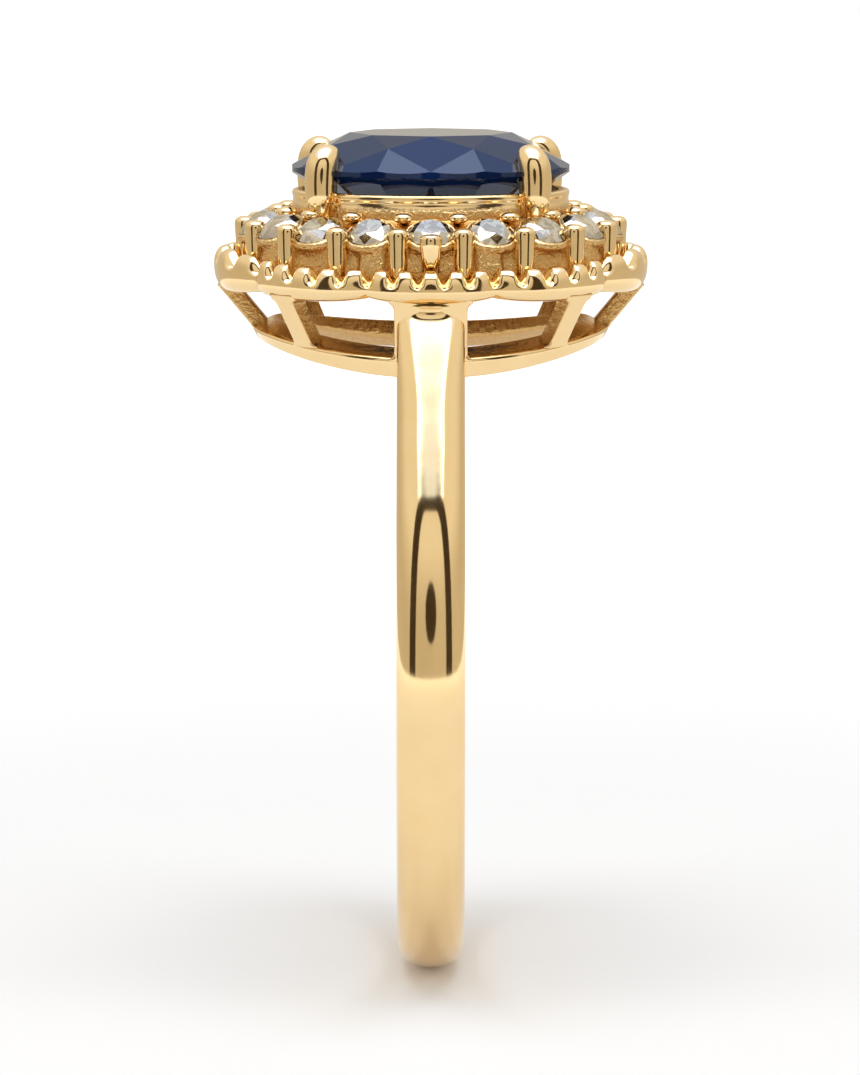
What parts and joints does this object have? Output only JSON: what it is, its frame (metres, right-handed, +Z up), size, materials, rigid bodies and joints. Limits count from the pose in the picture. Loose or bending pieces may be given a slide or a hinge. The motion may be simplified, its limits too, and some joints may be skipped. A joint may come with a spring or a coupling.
{
  "type": "engagement ring",
  "caption": "Yellow gold halo ring: oval dark blue centre stone in claws, tilted ring of small clear stones, scalloped beaded border, open gallery and plain court band.",
  "frame": {"origin": "lowest point of the band, centred on the head in plan; the ring stands upright on its band", "axes": "+Z up through the centre stone's table, +X along the finger, +Y across the finger"},
  "size_m": [0.0134, 0.0204, 0.0258],
  "materials": {
    "shank_gold": "high polish yellow gold",
    "gallery_gold": "polished yellow gold, duller inside",
    "border_gold": "high polish yellow gold",
    "setting_gold": "polished yellow gold, as cast in the recesses",
    "claw_gold": "high polish yellow gold",
    "sapphire": "polished facets, dark blue",
    "diamond": "polished facets, colourless"
  },
  "bodies": {
    "root": {"shank": "shank_gold", "lower_rail": "gallery_gold", "strut_right": "gallery_gold", "strut_back_right": "gallery_gold", "strut_back": "gallery_gold", "strut_back_left": "gallery_gold", "strut_left": "gallery_gold", "strut_front_left": "gallery_gold", "strut_front": "gallery_gold", "strut_front_right": "gallery_gold", "scalloped_border": "border_gold", "halo_setting": "setting_gold", "centre_collar": "setting_gold", "claw_front_left": "claw_gold", "claw_front_right": "claw_gold", "claw_back_left": "claw_gold", "claw_back_right": "claw_gold", "centre_sapphire": "sapphire", "halo_diamond_01": "diamond", "halo_diamond_02": "diamond", "halo_diamond_03": "diamond", "halo_diamond_04": "diamond", "halo_diamond_05": "diamond", "halo_diamond_06": "diamond", "halo_diamond_07": "diamond", "halo_diamond_08": "diamond", "halo_diamond_09": "diamond", "halo_diamond_10": "diamond", "halo_diamond_11": "diamond", "halo_diamond_12": "diamond", "halo_diamond_13": "diamond", "halo_diamond_14": "diamond", "halo_diamond_15": "diamond", "halo_diamond_16": "diamond", "halo_diamond_17": "diamond", "halo_diamond_18": "diamond"}
  },
  "joints": []
}
